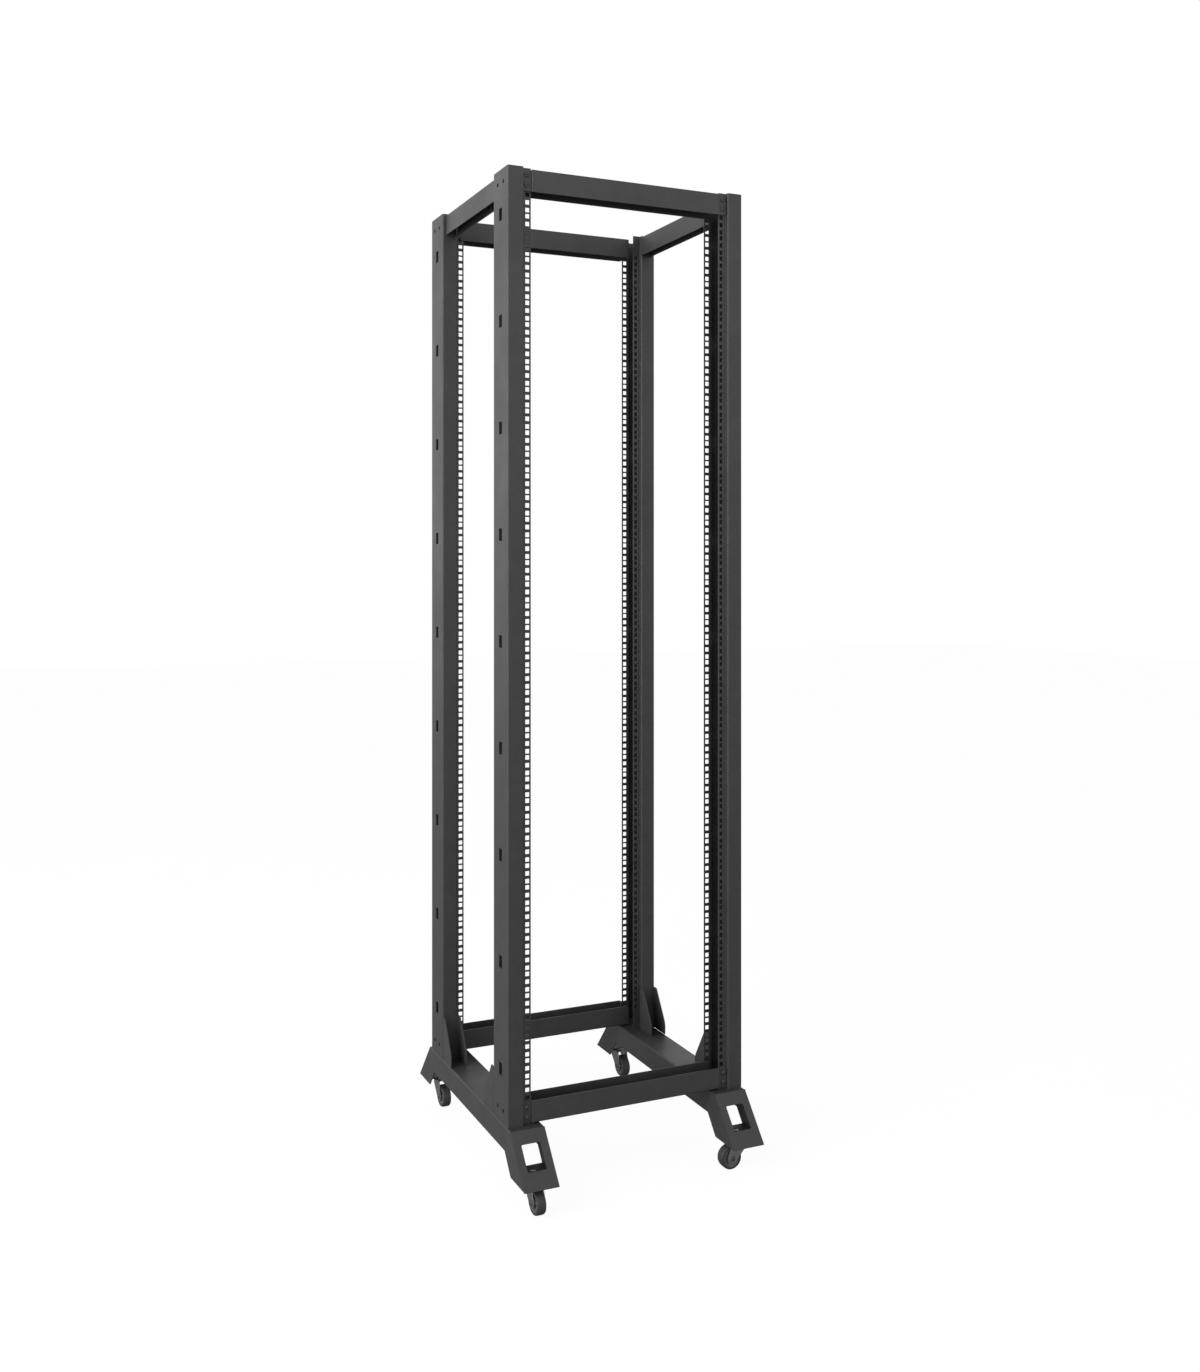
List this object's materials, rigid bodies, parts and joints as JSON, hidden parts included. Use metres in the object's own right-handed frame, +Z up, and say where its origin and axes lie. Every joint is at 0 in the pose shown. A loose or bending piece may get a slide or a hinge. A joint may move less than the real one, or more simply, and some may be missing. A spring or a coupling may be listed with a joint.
{
  "type": "open frame server rack",
  "caption": "Open-frame equipment rack with posts carrying square-hole mounting flanges, tie rails, sloped feet and swivel casters",
  "frame": {"origin": "on the floor, midway between the four casters' swivel axes", "axes": "+X to the rack's right seen from the front, +Y to the back, +Z up"},
  "size_m": [0.56, 0.63, 2.1123],
  "materials": {
    "powder_coat": "matte black powder coat, fine texture",
    "bolt_steel": "black oxide, satin",
    "zinc_steel": "zinc plated",
    "fork_steel": "dark plated, semi-gloss",
    "wheel_plastic": "moulded, matte",
    "wheel_tread": "smooth, matte"
  },
  "bodies": {
    "frame": {"post_front_left": "powder_coat", "post_front_right": "powder_coat", "post_rear_left": "powder_coat", "post_rear_right": "powder_coat", "top_rail_front": "powder_coat", "top_rail_rear": "powder_coat", "bottom_rail_front": "powder_coat", "bottom_rail_rear": "powder_coat", "top_rail_left": "powder_coat", "top_rail_right": "powder_coat", "base_beam_left": "powder_coat", "base_beam_right": "powder_coat", "foot_plate_front_left": "powder_coat", "caster_mount_front_left": "powder_coat", "gusset_front_left": "powder_coat", "foot_plate_front_right": "powder_coat", "caster_mount_front_right": "powder_coat", "gusset_front_right": "powder_coat", "foot_plate_rear_left": "powder_coat", "caster_mount_rear_left": "powder_coat", "gusset_rear_left": "powder_coat", "foot_plate_rear_right": "powder_coat", "caster_mount_rear_right": "powder_coat", "gusset_rear_right": "powder_coat", "caster_stem_front_left": "zinc_steel", "caster_stem_front_right": "zinc_steel", "caster_stem_rear_left": "zinc_steel", "caster_stem_rear_right": "zinc_steel", "rail_bolt_top_front_left_outer": "bolt_steel", "rail_bolt_top_front_left_inner": "bolt_steel", "rail_bolt_top_front_right_outer": "bolt_steel", "rail_bolt_top_front_right_inner": "bolt_steel", "rail_bolt_top_rear_left_outer": "bolt_steel", "rail_bolt_top_rear_left_inner": "bolt_steel", "rail_bolt_top_rear_right_outer": "bolt_steel", "rail_bolt_top_rear_right_inner": "bolt_steel", "rail_bolt_bottom_front_left_outer": "bolt_steel", "rail_bolt_bottom_front_left_inner": "bolt_steel", "rail_bolt_bottom_front_right_outer": "bolt_steel", "rail_bolt_bottom_front_right_inner": "bolt_steel", "rail_bolt_bottom_rear_left_outer": "bolt_steel", "rail_bolt_bottom_rear_left_inner": "bolt_steel", "rail_bolt_bottom_rear_right_outer": "bolt_steel", "rail_bolt_bottom_rear_right_inner": "bolt_steel"},
    "fork_front_left": {"caster_fork_front_left": "fork_steel", "caster_axle_front_left": "zinc_steel"},
    "wheel_front_left": {"caster_rim_front_left": "wheel_plastic", "caster_tyre_front_left": "wheel_tread"},
    "fork_front_right": {"caster_fork_front_right": "fork_steel", "caster_axle_front_right": "zinc_steel"},
    "wheel_front_right": {"caster_rim_front_right": "wheel_plastic", "caster_tyre_front_right": "wheel_tread"},
    "fork_rear_left": {"caster_fork_rear_left": "fork_steel", "caster_axle_rear_left": "zinc_steel"},
    "wheel_rear_left": {"caster_rim_rear_left": "wheel_plastic", "caster_tyre_rear_left": "wheel_tread"},
    "fork_rear_right": {"caster_fork_rear_right": "fork_steel", "caster_axle_rear_right": "zinc_steel"},
    "wheel_rear_right": {"caster_rim_rear_right": "wheel_plastic", "caster_tyre_rear_right": "wheel_tread"}
  },
  "joints": [
    {"name": "swivel_front_left", "type": "hinge", "parent": "frame", "child": "fork_front_left", "pos_m": [-0.2415, -0.27, 0.06], "axis": [0, 0, 1], "continuous": true},
    {"name": "wheel_spin_front_left", "type": "hinge", "parent": "fork_front_left", "child": "wheel_front_left", "pos_m": [-0.2415, -0.29, 0.025], "axis": [1, 0, 0], "continuous": true},
    {"name": "swivel_front_right", "type": "hinge", "parent": "frame", "child": "fork_front_right", "pos_m": [0.2415, -0.27, 0.06], "axis": [0, 0, 1], "continuous": true},
    {"name": "wheel_spin_front_right", "type": "hinge", "parent": "fork_front_right", "child": "wheel_front_right", "pos_m": [0.2215, -0.27, 0.025], "axis": [0, 1, 0], "continuous": true},
    {"name": "swivel_rear_left", "type": "hinge", "parent": "frame", "child": "fork_rear_left", "pos_m": [-0.2415, 0.27, 0.06], "axis": [0, 0, 1], "continuous": true},
    {"name": "wheel_spin_rear_left", "type": "hinge", "parent": "fork_rear_left", "child": "wheel_rear_left", "pos_m": [-0.2415, 0.25, 0.025], "axis": [1, 0, 0], "continuous": true},
    {"name": "swivel_rear_right", "type": "hinge", "parent": "frame", "child": "fork_rear_right", "pos_m": [0.2415, 0.27, 0.06], "axis": [0, 0, 1], "continuous": true},
    {"name": "wheel_spin_rear_right", "type": "hinge", "parent": "fork_rear_right", "child": "wheel_rear_right", "pos_m": [0.2415, 0.25, 0.025], "axis": [1, 0, 0], "continuous": true}
  ]
}
